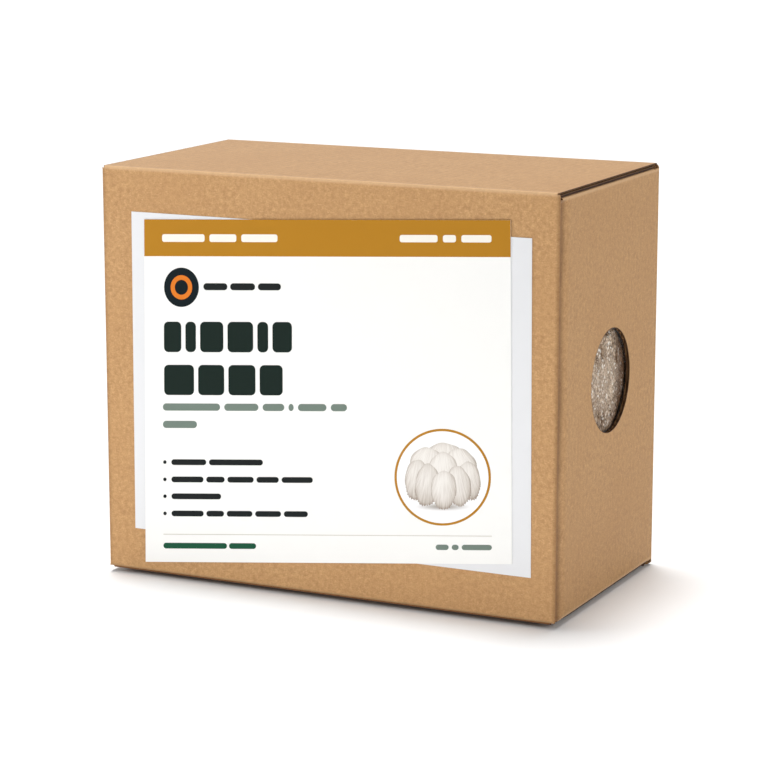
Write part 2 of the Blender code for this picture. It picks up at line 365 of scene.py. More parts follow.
def kraft_material():
    """Brown liner paper: mottled pulp, fibres, faint flute stripes that are partly painted shade,
    creases paled by wear and a painted highlight, and painted shade along edges, scores, cut edges and
    the window's rim.
    """
    g = Graph("kraft_liner", (0.49, 0.27, 0.105), 0.64, 0.32)
    place = g.place()
    uv = g.uv()
    broad = g.noise(place, 24, 2)
    blotch = g.noise(place, 120, 2, 0.6)
    mottle = g.noise(place, 520, 3, 0.65)
    grain = g.noise(place, 1500, 2, 0.7)
    fibres = [
        g.noise(g.stretched(uv, (520, 3600, 1), turn), 1, 1)
        for turn in (0.25, -0.4, 1.2)
    ]
    pale_fibre = g.math("MULTIPLY", fibres[0], fibres[1])
    dark_fibre = g.math("MULTIPLY", fibres[1], fibres[2])
    # Faint stripes over the flutes: partly the glue lines' own tone, partly painted shade of the
    # washboard.
    stripe = g.math("SINE", g.math("MULTIPLY", g.axis(uv, 0), math.tau / FLUTE_PITCH))
    tone = g.mix(g.span(mottle, 0.34, 0.66), (0.43, 0.23, 0.092), (0.65, 0.388, 0.176))
    tone = g.coats(tone, (
        (blotch, (0.35, 0.65, 0, 0.45), (0.585, 0.34, 0.148)),
        (broad, (0.35, 0.65, 0, 0.3), (0.49, 0.262, 0.106)),
        (grain, (0.4, 0.7, 0, 0.6), (0.4, 0.212, 0.082)),
        (pale_fibre, (0.33, 0.44, 0, 0.45), (0.73, 0.465, 0.24)),
        (dark_fibre, (0.34, 0.46, 0, 0.45), (0.28, 0.14, 0.047)),
        (stripe, (-1, 1, 0, 0.08), (0.4, 0.21, 0.075)),
        # Paler near creases: partly fibres whitened by bending, partly a painted highlight.
        (g.attribute("worn"), (0, 1, 0, 0.55), (0.74, 0.5, 0.29)),
    ))
    # Painted shade: the window's cut rim, on the windowed wall, darkened nearly to black.
    aside = [g.math("SUBTRACT", g.axis(place, i + 1), WINDOW_CENTRE[i]) for i in (0, 1)]
    reach = g.math("SQRT", g.math("ADD", *(g.math("POWER", a, 2) for a in aside)))
    near = g.span(reach, WINDOW_RADIUS + 0.05 * MM, WINDOW_RADIUS + 0.3 * MM, 1, 0)
    rim = g.math("MULTIPLY", near, g.attribute("windowed"))
    # Painted shade, multiplied in: along board edges, the score beside the front corner, beyond the dust
    # flaps' creases and under the bottom.
    tone = g.mix(g.attribute("pressed"), tone, (0.3, 0.2, 0.11), "MULTIPLY")
    # Painted shade: cut edges darkened nearly to black, as in the gaps where they sit.
    tone = g.mix(g.attribute("cut"), tone, (0.3, 0.17, 0.08), "MULTIPLY")
    tone = g.mix(rim, tone, (0.15, 0.09, 0.05), "MULTIPLY")
    g.set("Base Color", tone)
    g.set("Roughness", g.span(mottle, 0.2, 0.8, 0.58, 0.7))
    g.set("Sheen Weight", 0.48)
    g.set("Sheen Roughness", 0.185)
    relief = g.math("ADD", g.math("MULTIPLY", fibres[0], 0.5), g.math("ADD", grain, mottle))
    g.bump(relief, 0.03 * MM, 0.7)
    return g.material


def medium_material():
    """The fluted layer: darker, rougher pulp, darkened further as painted shade for the gaps it shows
    in.
    """
    g = Graph("fluted_medium", (0.16, 0.085, 0.035), 0.95, 0.2)
    grain = g.noise(g.place(), 1500, 3)
    g.set("Base Color", g.mix(grain, (0.1, 0.052, 0.022), (0.22, 0.12, 0.052)))
    return g.material


@cache
def board_materials():
    """Liner and fluted layer, made once for all panels."""
    return [kraft_material(), medium_material()]


def paper_material(name, colour):
    """Coated label paper with a faint tooth."""
    g = Graph(name, colour, 0.45, 0.4)
    tooth = g.noise(g.place(), 2600)
    g.set("Roughness", g.span(tooth, 0.3, 0.7, 0.4, 0.52))
    g.bump(tooth, 0.006 * MM, 0.6)
    return g.material


def ink_graph(name, colour):
    """An even printed colour."""
    return Graph(name, colour, 0.6, 0.12)


def picture_material():
    """The pictured mushroom: cream spines that fall from each lobe's crown."""
    g = ink_graph("picture_ink", (0.8, 0.73, 0.68))
    uv = g.uv()
    strands = g.noise(g.stretched(uv, (34, 1.6, 1)), 1, 2, 0.6)
    clumps = g.noise(g.stretched(uv, (9, 1.2, 1)), 1)
    level = g.math("ADD", g.attribute("shade"), g.span(strands, 0.25, 0.75, -0.2, 0.2))
    level = g.math("ADD", level, g.span(clumps, 0.3, 0.7, -0.1, 0.1))
    tone = g.mix(g.span(level, 0, 0.5), (0.25, 0.19, 0.145), (0.53, 0.47, 0.415))
    g.set("Base Color", g.mix(g.span(level, 0.5, 1), tone, (0.86, 0.825, 0.78)))
    return g.material


def shadow_material():
    """The soft shadow below the pictured mushroom."""
    g = ink_graph("picture_shadow_ink", (0.9, 0.9, 0.9))
    g.set("Base Color", g.mix(g.attribute("shade"), (0.95, 0.95, 0.95), (0.36, 0.32, 0.29)))
    return g.material


def substrate_material():
    """Sawdust grown through with mycelium: cream felt over brown grains, moist, with painted glints,
    painted shade and painted light in the middle.
    """
    g = Graph("grown_substrate", (0.5, 0.38, 0.28), 0.5, 0.2)
    place = g.place()
    patch = g.noise(place, 130, 4, 0.62)
    grain = g.cells(place, 640)
    specks = g.cells(place, 400)
    fine = g.noise(place, 1500, 2, 0.6)
    # Painted highlights: white glints in the colour, in patches, fewer where the painted shade is deep.
    glint_patches = g.span(g.noise(place, 260), 0.46, 0.58)
    deep = g.attribute("deep")
    painted_glints = g.math("MULTIPLY", g.span(g.cells(place, 620), 0.24, 0.42, 1, 0), glint_patches)
    glints_showing = g.math("MULTIPLY", painted_glints, g.span(deep, 0, 1, 1, 0.35))
    tone = g.mix(g.span(patch, 0.38, 0.6), (0.42, 0.29, 0.19), (0.86, 0.68, 0.51))
    tone = g.coats(tone, (
        (grain, (0.2, 0.6, 0, 0.85), (0.22, 0.14, 0.08)),
        (specks, (0.18, 0.36, 0.9, 0), (0.1, 0.055, 0.03)),
        (fine, (0.54, 0.66, 0, 0.7), (0.88, 0.72, 0.56)),
        # Painted light: paler in the plug's middle.
        (g.attribute("pale"), (0, 1, 0, 0.3), (0.86, 0.7, 0.55)),
    ))
    # Painted shade: darker in the blisters' hollows, towards the plug's far side and towards its bottom.
    tone = g.mix(deep, tone, (0.28, 0.19, 0.12), "MULTIPLY")
    g.set("Base Color", g.mix(glints_showing, tone, (1, 0.95, 0.88)))
    g.set("Roughness", g.span(fine, 0.35, 0.65, 0.62, 0.3))
    height = g.math("ADD", g.math("MULTIPLY", grain, 0.8), g.math("ADD", fine, patch))
    g.bump(height, 0.65 * MM, 0.95)
    return g.material


def film_material():
    """Clear bag film with fine creases and beads of moisture."""
    g = Graph("bag_film", (0.93, 0.94, 0.94), 0.28)
    place = g.place()
    beads = g.span(g.cells(place, 800), 0.14, 0.3, 1, 0)
    veins = g.noise(g.stretched(place, (60, 160, 25), 0.5), 1, 3)
    cover = g.math("ADD", g.math("MULTIPLY", beads, 0.22), g.span(veins, 0.4, 0.75, 0.14, 0.42))
    g.set("Alpha", cover)
    g.bump(g.math("ADD", beads, veins), 0.2 * MM, 0.8)
    return g.material


def fleece_material():
    """White fleece with a fine dotted pattern."""
    g = Graph("patch_fleece", (0.85, 0.85, 0.83), 0.9, 0.3)
    dots = g.cells(g.place(), 1400)
    g.set("Base Color", g.mix(g.span(dots, 0.1, 0.5), (0.78, 0.78, 0.76), (0.9, 0.9, 0.88)))
    g.bump(dots, 0.06 * MM, 0.8)
    return g.material


# Meshes

class Soup:
    """Vertices and faces gathered from several shapes.

    Each vertex has named numbers, which are 0 where a shape doesn't give them.
    """

    def __init__(self):
        self.parts, self.faces, self.slots, self.count = [], [], [], 0

    def add(self, vertices, faces, slot=0, **numbers):
        vertices = np.asarray(vertices, float).reshape(-1, 3)
        self.parts.append((vertices, {k: np.asarray(v, float) for k, v in numbers.items()}))
        self.faces.extend([[int(i) + self.count for i in face] for face in faces])
        self.slots.extend([slot] * len(faces))
        self.count += len(vertices)

    def build(self, name, materials, sharp=35):
        mesh = bpy.data.meshes.new(name)
        mesh.from_pydata(np.concatenate([v for v, _ in self.parts]).tolist(), [], self.faces)
        for material in materials:
            mesh.materials.append(material)
        mesh.polygons.foreach_set("material_index", self.slots)
        for key in sorted({key for _, numbers in self.parts for key in numbers}):
            width = 2 if key == "uv" else 1
            rows = [n.get(key, np.zeros(len(v) * width)).reshape(-1, width) for v, n in self.parts]
            values = np.concatenate(rows).astype(np.float32)
            if key == "uv":
                loops = np.zeros(len(mesh.loops), np.int32)
                mesh.loops.foreach_get("vertex_index", loops)
                mesh.uv_layers.new(name="Board").uv.foreach_set("vector", values[loops].ravel())
            else:
                mesh.attributes.new(key, "FLOAT", "POINT").data.foreach_set("value", values.ravel())
        mesh.shade_smooth()
        mesh.set_sharp_from_angle(angle=math.radians(sharp))
        obj = bpy.data.objects.new(name, mesh)
        bpy.context.scene.collection.objects.link(obj)
        return obj


def grid_faces(count_u, count_s, closed_u=0, closed_s=0):
    """Quads over a grid of points. They face the side from which u runs right and s up."""
    index = np.arange(count_u * count_s).reshape(count_u, count_s)
    index = np.pad(index, ((0, closed_u), (0, closed_s)), "wrap")
    corners = (index[:-1, :-1], index[1:, :-1], index[1:, 1:], index[:-1, 1:])
    return np.stack(corners, -1).reshape(-1, 4)


def sheet_solid(outer, inner):
    """Vertices and quads of the closed sheet between two grids of points."""
    count_u, count_s = outer.shape[:2]
    shift = count_u * count_s
    top = grid_faces(count_u, count_s)
    index = np.arange(shift).reshape(count_u, count_s)
    rim = np.concatenate([index[:, 0], index[-1, 1:], index[-2::-1, -1], index[0, -2:0:-1]])
    after = np.roll(rim, -1)
    sides = np.stack([rim + shift, after + shift, after, rim], -1)
    faces = np.concatenate([top, top[:, ::-1] + shift, sides])
    return np.concatenate([outer.reshape(-1, 3), inner.reshape(-1, 3)]), faces


class Path:
    """A board's outer face along its flutes: straight runs, and tight bends towards its inside."""

    def __init__(self, start, across, along, out, steps):
        self.across = np.array(across, float)
        self.parts, self.bends = [], []
        point, along, out = (np.array(v, float) for v in (start, along, out))
        at = 0
        for kind, amount in steps:
            self.parts.append((at, kind, point, along, out))
            if kind == "run":
                length = amount
                point = point + along * length
            else:
                length = amount * FOLD_RADIUS
                self.bends.append((at, at + length))
                centre = point - out * FOLD_RADIUS
                out, along = (out * math.cos(amount) + along * math.sin(amount),
                              along * math.cos(amount) - out * math.sin(amount))
                point = centre + out * FOLD_RADIUS
            at += length
        self.length = at
        self.end = (point, along, out)

    def place(self, u, s, h):
        """Points at u across the flutes, s along them and h out of the outer face."""
        points = np.zeros((*u.shape, 3))
        for start, kind, point, along, out in self.parts:
            here = s >= start - 1e-9 if start > 0 else np.ones(s.shape, bool)
            x = (s - start)[here][:, None]
            height = h[here][:, None]
            if kind == "run":
                points[here] = point + along * x + out * height
            else:
                angle = x / FOLD_RADIUS
                normal = out * np.cos(angle) + along * np.sin(angle)
                points[here] = point - out * FOLD_RADIUS + normal * (FOLD_RADIUS + height)
        return points + self.across * u[..., None]


def row_places(length, creases):
    """Distances along the flutes for a sheet's rows: close together near creases."""
    rows = set(np.linspace(0, length, max(2, math.ceil(length / ROW_STEP) + 1)).tolist())
    for low, high in creases:
        first, last = max(0, low - 2 * CRUSH_REACH), min(length, high + 2 * CRUSH_REACH)
        rows.update(np.linspace(first, last, math.ceil((last - first) / FINE_STEP) + 1).tolist())
    ordered = sorted(rows)
    return np.array([a for a, b in zip(ordered, ordered[1:]) if b - a > LEAST_STEP] + [ordered[-1]])


def flute_count(low, high):
    """Whole flutes across a panel, so that both its edges meet the fluted layer at a crest."""
    return max(1, round((high - low) / FLUTE_PITCH))


def column_places(low, high, per_flute):
    """Places across the flutes, with extra ones round the two ends' corners."""
    count = flute_count(low, high) * per_flute
    curve = CORNER_RADIUS * (1 - np.cos(np.linspace(0, math.pi / 2, 6)))
    places = np.concatenate([np.linspace(low, high, count + 1), low + curve, high - curve])
    return np.unique(places.round(9))


def crush(s, creases):
    """1 on a crease and 0 away from it."""
    amount = np.zeros(s.shape)
    for low, high in creases:
        away = np.maximum(np.maximum(low - s, s - high), 0)
        amount = np.maximum(amount, fading(away, 1, 0, CRUSH_REACH))
    return amount


def layer_faces(layer, outer, inner, wave):
    """The two faces of one of a board's layers, from those of the board."""
    if layer == "outer":
        return outer, outer - LINER
    if layer == "inner":
        return inner + LINER, inner
    swing = np.maximum((outer - inner) / 2 - LINER - MEDIUM / 2 - LAYER_GAP, 0)
    middle = (outer + inner) / 2 + swing * wave
    return middle + MEDIUM / 2, middle - MEDIUM / 2


def none(u, s):
    """No relief, shift or painted shade."""
    return np.zeros(u.shape)


def board_piece(name, path, span, creases=(), relief=none, shift=none, pressed=none, limits=None,
                inner_span=None, cutter=None):
    """One panel of corrugated board, as three closed sheets in one object.

    span is its reach across the flutes, and limits gives where each column starts and ends along them.
    relief moves only the outer liner, and shift the whole board. Where that liner runs round the panel's
    corners, and so has no cut edges, inner_span is the reach of the layers behind it.
    """
    creases = [*path.bends, *creases]
    rows = row_places(path.length, creases)
    fixed = max([b + CRUSH_REACH for _, b in path.bends if b < path.length / 2], default=0)
    layers = (
        ("outer", 0, LINER_COLUMNS),
        ("medium", 1, MEDIUM_COLUMNS),
        ("inner", 0, LINER_COLUMNS // 2),
    )
    soups = [Soup() for _ in layers] if cutter else [Soup()] * len(layers)
    for soup, (layer, slot, per_flute) in zip(soups, layers):
        low, high = inner_span if inner_span and layer != "outer" else span
        u, s = np.meshgrid(column_places(low, high, per_flute), rows, indexing="ij")
        if limits:
            first, last = (np.maximum(v, fixed) if fixed else v for v in limits(u))
            share = np.clip((s - fixed) / (path.length - fixed), 0, 1)
            s = np.where(s < fixed, s, first + share * (last - first))
        squeezed = crush(s, creases)
        wave = np.cos(math.tau * (u - low) / ((high - low) / flute_count(low, high)))
        whole = shift(u, s)
        outer = whole + relief(u, s) - WASHBOARD * (1 - squeezed) * (0.5 - 0.5 * wave)
        inner = whole - BOARD + (BOARD - CRUSHED) * squeezed
        faces = layer_faces(layer, np.maximum(outer, inner + CRUSHED), inner, wave)
        cut_edge = layer != "outer" or not inner_span
        # Per vertex: paler creases, partly wear and partly a painted highlight; then painted shade, and
        # painted shade on the cut edges.
        numbers = {
            "worn": 0.9 * squeezed ** 4,
            "pressed": pressed(u, s),
            "cut": cut_edge * np.exp(-np.minimum(u - low, high - u) / CUT_FADE),
        }
        numbers = {key: np.tile(value.ravel(), 2) for key, value in numbers.items()}
        uv = np.tile(np.stack([u, s], -1).reshape(-1, 2), (2, 1))
        soup.add(*sheet_solid(*(path.place(u, s, h) for h in faces)), slot, uv=uv, **numbers)
    if not cutter:
        return soup.build(name, board_materials())
    parts = [soup.build(f"{name}_{i}", board_materials()) for i, soup in enumerate(soups)]
    return joined([cut_out(part, cutter) for part in parts], name)


def cut_out(obj, cutter):
    """Cuts the closed cutter out of the object for good."""
    modifier = obj.modifiers.new("cut", "BOOLEAN")
    modifier.object = cutter
    modifier.operation = "DIFFERENCE"
    modifier.solver = "EXACT"
    evaluated = obj.evaluated_get(bpy.context.evaluated_depsgraph_get())
    mesh = bpy.data.meshes.new_from_object(evaluated)
    obj.modifiers.clear()
    obj.data = mesh
    return obj


def joined(parts, name):
    """One object from several."""
    with bpy.context.temp_override(active_object=parts[0], selected_editable_objects=parts):
        bpy.ops.object.join()
    parts[0].name = parts[0].data.name = name
    return parts[0]


def window_cutter():
    """A closed cylinder along X through the right wall."""
    bpy.ops.mesh.primitive_cylinder_add(
        vertices=WINDOW_SEGMENTS, radius=WINDOW_RADIUS, depth=CUTTER_LENGTH,
        location=(WALL_X, *WINDOW_CENTRE), rotation=(0, math.pi / 2, 0))
    return bpy.context.object


# The carton. Each relief, shift and painted shade below ends with u and s, and each limit with u.

def wrapped_ends(half, u, s):
    """Relief of a wall whose liner wraps round both vertical corners."""
    inside = np.clip(CORNER_RADIUS - half + abs(u), 0, CORNER_RADIUS)
    return np.sqrt(CORNER_RADIUS ** 2 - inside ** 2) - CORNER_RADIUS


def side_dip(front, u, s):
    """Relief of a side wall: pressed in beside both corners, and most beside the front one."""
    away, behind = abs(u - front), abs(u + front)
    dip = smooth(away / DIP_START) * fading(away, *SIDE_DIP)
    return -dip - smooth(behind / DIP_START) * fading(behind, *BACK_DIP)


def painted_score_shade(front, u, s):
    """How dark the painted shade is along the score beside the front corner of a side wall."""
    wander = sum(swing * np.sin(s / length) for swing, length in SCORE_SHADE_WAVES)
    return fading(abs(u - front) - wander, *SCORE_SHADE)


def painted_edge_shade(half, sides, start, u, s):
    """How dark the painted shade is along a board's two side edges and where it starts."""
    return np.maximum(fading(half - abs(u), *sides), fading(s, *start))


def floor_thinning(half, u, s):
    """The bottom's outer liner is pressed thin along its two cut edges."""
    return -fading(half - abs(u), *FLOOR_THINNING)


def floor_sag(start, u, s):
    """The bottom hangs from its crease, which ends at start, down onto the table."""
    return FRONT_LIFT * smooth((s - start) / SAG_REACH)


def painted_flap_shade(start, u, s):
    """Painted shade just beyond a dust flap's crease, which ends at start."""
    return smooth((s - start) / FOLD_BLEND) * fading(s - start, *FLAP_SHADE)


def flap_lift(turn, start, u, s):
    """A bottom dust flap hangs from its crease, which ends at start, and rises with the front."""
    front_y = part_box("front_panel")[0].y
    rise = fading(u * turn, FRONT_LIFT, front_y + FOLD_RADIUS, SAG_REACH)
    hang = SIDE_LIFT * smooth((s - start) / SIDE_SAG_REACH)
    return hang - rise * smooth((s - start) / FLAP_RISE_REACH)


def flap_limits(middle, half, length, shoulder, u):
    """A flap's ends: it narrows by the shoulder on each side, and has two round corners."""
    away = abs(u - middle)
    tip = half - shoulder
    round_part = np.clip(away - (tip - FLAP_CORNER), 0, FLAP_CORNER)
    end = length - FLAP_CORNER + np.sqrt(FLAP_CORNER ** 2 - round_part ** 2)
    if shoulder > 0:
        slope = np.clip((half - away) / shoulder, 0, 1) * (length - FLAP_CORNER)
        end = np.where(away > tip, slope, end)
    return np.zeros(u.shape), np.maximum(end, LEAST_FLAP)


def back_limits(half, length, u):
    """The back wall's cut ends, with a round corner at each side."""
    away = np.clip(abs(u) - (half - BACK_CORNER), 0, BACK_CORNER)
    cut = BACK_CORNER - np.sqrt(BACK_CORNER ** 2 - away ** 2)
    return BACK_FOOT * cut, length - cut


def side_limits(side, length, u):
    """A side wall reaches past its folds behind the dust flaps' ends, at the back corner."""
    ends = [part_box(f"{end}_dust_flap_right")[1].y for end in ("bottom", "top")]
    foot, head = (smooth((u * side - end) / FOLD_BLEND) for end in ends)
    return -FOLD_RADIUS * foot, length + SIDE_HEAD * head


def seam_limits(low, high, length, u):
    """The glued seam's two sloped ends."""
    cut = (u - low) / (high - low) * GLUE_TAPER
    return cut, length - cut


def add_front_and_back():
    """The front and the back wall, whose outer liner wraps round the vertical corners."""
    front_low, front_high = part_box("front_panel")
    back_low, back_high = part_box("back_panel")
    half_x = front_high.x
    inside = half_x - BOARD / 2
    wrap = {"relief": partial(wrapped_ends, half_x), "inner_span": (-inside, inside)}
    low, high = FRONT_LIFT + FOLD_RADIUS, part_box("lid_panel")[1].z - FOLD_RADIUS
    path = Path((0, front_low.y, low), X, Z, -Y, [("run", high - low)])
    creases = [(0, 0), (path.length, path.length)]
    front = board_piece("front_wall", path, (-half_x, half_x), creases,
                        pressed=partial(painted_edge_shade, half_x, *FRONT_EDGE_SHADE), **wrap)
    path = Path((0, back_high.y, back_low.z), -X, Z, Y, [("run", back_high.z - back_low.z)])
    back = board_piece("back_wall", path, (-half_x, half_x),
                       limits=partial(back_limits, half_x, path.length), **wrap)
    return {"front_panel": front, "back_panel": back}


def side_fold_heights():
    """Where the side walls start and end, between their folds into the dust flaps."""
    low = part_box("bottom_dust_flap_right")[0].z + SIDE_LIFT + FOLD_RADIUS
    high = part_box("top_dust_flap_right")[1].z - LID_SLOT - FOLD_RADIUS
    return low, high


def add_sides():
    """The two side walls, the right one with its window."""
    front_low, front_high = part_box("front_panel")
    low, high = side_fold_heights()
    reach = -front_low.y - CORNER_RADIUS
    deep = reach - BOARD
    cutter = window_cutter()
    pieces = {}
    for hand, side in (("right", 1), ("left", -1)):
        path = Path((side * front_high.x, 0, low), side * Y, Z, side * X, [("run", high - low)])
        wall = board_piece(
            f"{hand}_wall", path, (-reach, reach), [(0, 0), (path.length, path.length)],
            partial(side_dip, -side * reach), pressed=partial(painted_score_shade, -side * reach),
            limits=partial(side_limits, side, path.length), inner_span=(-deep, deep),
            cutter=cutter if side > 0 else None)
        # Marks the windowed wall, whose window rim gets painted shade.
        windowed = wall.data.attributes.new("windowed", "FLOAT", "POINT")
        windowed.data.foreach_set("value", [float(side > 0)] * len(wall.data.vertices))
        pieces[f"{hand}_panel"] = wall
    bpy.data.objects.remove(cutter)
    return pieces


def add_seam():
    """The glued seam inside the back left corner."""
    low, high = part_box("glue_flap")
    path = Path((low.x, 0, low.z), -Y, Z, -X, [("run", high.z - low.z)])
    span = (-high.y, -low.y)
    limits = partial(seam_limits, *span, path.length)
    return {"glue_flap": board_piece("glue_tab", path, span, limits=limits)}


def add_tuck(end, turn, point, along, out):
    """The tuck flap of the lid or the bottom, from where its board's bend ends."""
    low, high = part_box(f"{end}_tuck_flap")
    length = ((low.z if turn > 0 else high.z) - point[2]) / along[2]
    path = Path(point, X * turn, along, out, [("run", length)])
    limits = partial(flap_limits, 0, high.x, length, 0)
    return board_piece(f"{end}_tuck", path, (-high.x, high.x), [(0, 0)], limits=limits)


def add_lid():
    """The lid and its tuck flap."""
    start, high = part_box("front_panel")[0].y + FOLD_RADIUS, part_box("lid_panel")[1]
    steps = [("run", high.y - FOLD_RADIUS - start), ("bend", TUCK_BEND)]
    path = Path((0, start, high.z), X, Y, Z, steps)
    lid = board_piece("lid_board", path, (-high.x, high.x), [(0, 0)],
                      pressed=partial(painted_edge_shade, high.x, *LID_EDGE_SHADE))
    return {"lid_panel": lid, "lid_tuck_flap": add_tuck("lid", 1, *path.end)}


def add_bottom():
    """The bottom, which hangs from the front's raised fold, and its tuck flap."""
    front_y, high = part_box("front_panel")[0].y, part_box("bottom_panel")[1]
    run = high.y - front_y - 2 * FOLD_RADIUS - FRONT_LIFT
    steps = [("bend", math.pi / 2), ("run", run), ("bend", TUCK_BEND)]
    path = Path((0, front_y, FRONT_LIFT + FOLD_RADIUS), -X, -Z, -Y, steps)
    half = high.x - FLOOR_INSET
    bottom = board_piece(
        "bottom_board", path, (-half, half), (), partial(floor_thinning, half),
        partial(floor_sag, path.bends[0][1]), partial(painted_edge_shade, half, *FLOOR_SHADE))
    point, along, out = path.end
    tuck = add_tuck("bottom", -1, point + out * FRONT_LIFT, along, out)
    return {"bottom_panel": bottom, "bottom_tuck_flap": tuck}


def add_dust_flaps():
    """Two flaps at each end, creased to the side walls."""
    pieces = {}
    half_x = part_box("front_panel")[1].x
    wall_low, wall_high = side_fold_heights()
    for end, up, z in (("top", 1, wall_high), ("bottom", -1, wall_low)):
        for hand, side in (("left", -1), ("right", 1)):
            node = f"{end}_dust_flap_{hand}"
            low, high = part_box(node)
            turn = side * up
            tip = high.x if side < 0 else low.x
            steps = [("bend", math.pi / 2), ("run", half_x - FOLD_RADIUS - abs(tip))]
            path = Path((side * half_x, 0, z), Y * turn, Z * up, X * side, steps)
            start = path.bends[0][1]
            ends = sorted((low.y * turn, high.y * turn))
            middle, half = sum(ends) / 2, (ends[1] - ends[0]) / 2
            pieces[node] = board_piece(
                f"{end}_dust_{hand}", path, ends, pressed=partial(painted_flap_shade, start),
                shift=none if up > 0 else partial(flap_lift, turn, start),
                limits=partial(flap_limits, middle, half, path.length, DUST_SHOULDER))
    return pieces


def add_lid_crease():
    """The bent strip between the front wall and the lid."""
    front_y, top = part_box("front_panel")[0].y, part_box("lid_panel")[1].z
    half_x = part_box("lid_panel")[1].x - CREASE_INSET
    path = Path((0, front_y, top - FOLD_RADIUS), X, Z, -Y, [("bend", math.pi / 2)])
    crease = board_piece("lid_crease", path, (-half_x, half_x))
    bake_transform(crease)


# Labels

def label_points(corners, fx, fy, depth):
    """Points at fractions from a label's left and top, at the y of depth."""
    left_top, right_top, right_low, left_low = (np.array(c) * MM for c in corners)
    fx, fy = fx[..., None], fy[..., None]
    upper = left_top + (right_top - left_top) * fx
    lower = left_low + (right_low - left_low) * fx
    flat = upper + (lower - upper) * fy
    return np.stack([flat[..., 0], np.full(flat.shape[:-1], depth), flat[..., 1]], -1)


def label_sheet(name, corners, face_y, material):
    """A paper label: a thin closed sheet facing -Y."""
    shares = np.linspace(0, 1, LABEL_STEPS)
    outer = label_points(corners, *np.meshgrid(shares, shares[::-1], indexing="ij"), face_y)
    soup = Soup()
    soup.add(*sheet_solid(outer, outer + LABEL_PAPER * Y))
    return soup.build(name, [material])


class Print:
    """Films of ink on the front label. Outlines are in label fractions, clockwise from the front."""

    def __init__(self, face_y, inks):
        self.face_y = face_y
        self.names = [ink.name for ink in inks]
        self.soup = Soup()

    def points(self, outline, depth):
        return label_points(PRINTED_CORNERS, *np.array(outline).T, depth)

    def add(self, vertices, faces, ink, **numbers):
        self.soup.add(vertices, faces, self.names.index(ink), **numbers)

    def shape(self, outline, ink, level=1):
        """A filled outline, as a closed film."""
        count = len(outline)
        depths = (self.face_y - level * INK, self.face_y)
        vertices = [self.points(outline, depth) for depth in depths]
        around = [[i, i + count, (i + 1) % count + count, (i + 1) % count] for i in range(count)]
        self.add(vertices, [range(count)[::-1], range(count, 2 * count), *around], ink)

    def ring(self, centre, radius, width, ink, level=1, segments=120):
        """A round line, as a closed film."""
        near, far = self.face_y - level * INK, self.face_y
        section = ((radius - width, near), (radius, near), (radius, far), (radius - width, far))
        rows = [self.points(circle(centre, r, segments), depth) for r, depth in section]
        self.add(np.stack(rows, 1), grid_faces(segments, 4, 1, 1), ink)

    def bars(self, left, middle, height, corner, ink, level, gap, lengths):
        """A line of bars."""
        for length in lengths:
            self.shape(bar(left, left + length, middle, height, corner), ink, level)
            left += length + gap

    def fan(self, centre, outline, depth, ink, numbers, rings=14):
        """A filled outline in rings about its centre. numbers(x, y) gives each vertex's numbers."""
        share = np.linspace(0, 1, rings + 1)[1:, None, None]
        flat = (np.array(centre) + (outline - np.array(centre)) * share).reshape(-1, 2)
        flat = np.concatenate([flat, [centre]])
        count = len(outline)
        quads = grid_faces(rings, count, closed_s=1)[:, ::-1].tolist()
        hub = [[rings * count, (i + 1) % count, i] for i in range(count)]
        self.add(self.points(flat, depth), quads + hub, ink, **numbers(*flat.T))


def circle(centre, radius, segments=96):
    """A circle's points from the right on. radius is a share of the label's width."""
    angles = np.linspace(0, math.tau, segments, False)
    across, down = radius * np.cos(angles), radius * ROUND_ASPECT * np.sin(angles)
    return np.stack([centre[0] + across, centre[1] + down], -1)


def bar(left, right, middle, height, corner):
    """A bar's outline with round corners. height is a share of the label's height."""
    radius_y = height * corner
    radius_x = min(radius_y / ROUND_ASPECT, (right - left) / 2)
    turn, share = np.repeat(np.arange(4), 7), np.tile(np.linspace(0, 1, 7), 4)
    angle = math.pi / 2 * (turn + share)
    x = np.where(turn % 3, left + radius_x, right - radius_x)
    y = middle + np.where(turn < 2, 1, -1) * (height / 2 - radius_y)
    return np.stack([x + radius_x * np.cos(angle), y + radius_y * np.sin(angle)], -1)


def spot(x, y):
    """Label fractions of a place in the picture, in picture radii from its middle."""
    return RING_CENTRE[0] + PICTURE_RADIUS * x, RING_CENTRE[1] + PICTURE_RADIUS * ROUND_ASPECT * y


def radii(fx, fy):
    """The place in the picture of label fractions: what spot does, undone."""
    return (fx - RING_CENTRE[0]) / PICTURE_RADIUS, (fy - RING_CENTRE[1]) / PICTURE_RADIUS / ROUND_ASPECT


def shadow_shade(fx, fy):
    """How dark the pictured shadow is: most in its middle."""
    x, y = radii(fx, fy)
    away = np.hypot(x / SHADOW_REACH[0], (y - SHADOW_MIDDLE) / SHADOW_REACH[1])
    return {"shade": smooth(1 - away)}


def lobe_outline(lobe, rng):
    """A ragged oval, with a fringe along its lower side."""
    cx, cy, rx, ry, tilt = lobe
    phases = [rng.uniform(0, 6.28) for _ in range(4)]
    a = np.linspace(0, math.tau, LOBE_POINTS, False)
    ragged = 1 + 0.025 * np.sin(3 * a + phases[0]) + 0.018 * np.sin(7 * a + phases[1])
    fringe = 0.03 * smooth(np.sin(a)) * (np.sin(31 * a + phases[2]) + np.sin(47 * a + phases[3]))
    reach = ragged + fringe
    x, y = turned(rx * np.cos(a) * reach, ry * np.sin(a) * reach, tilt)
    return np.stack(spot(cx + x, cy + y), -1)


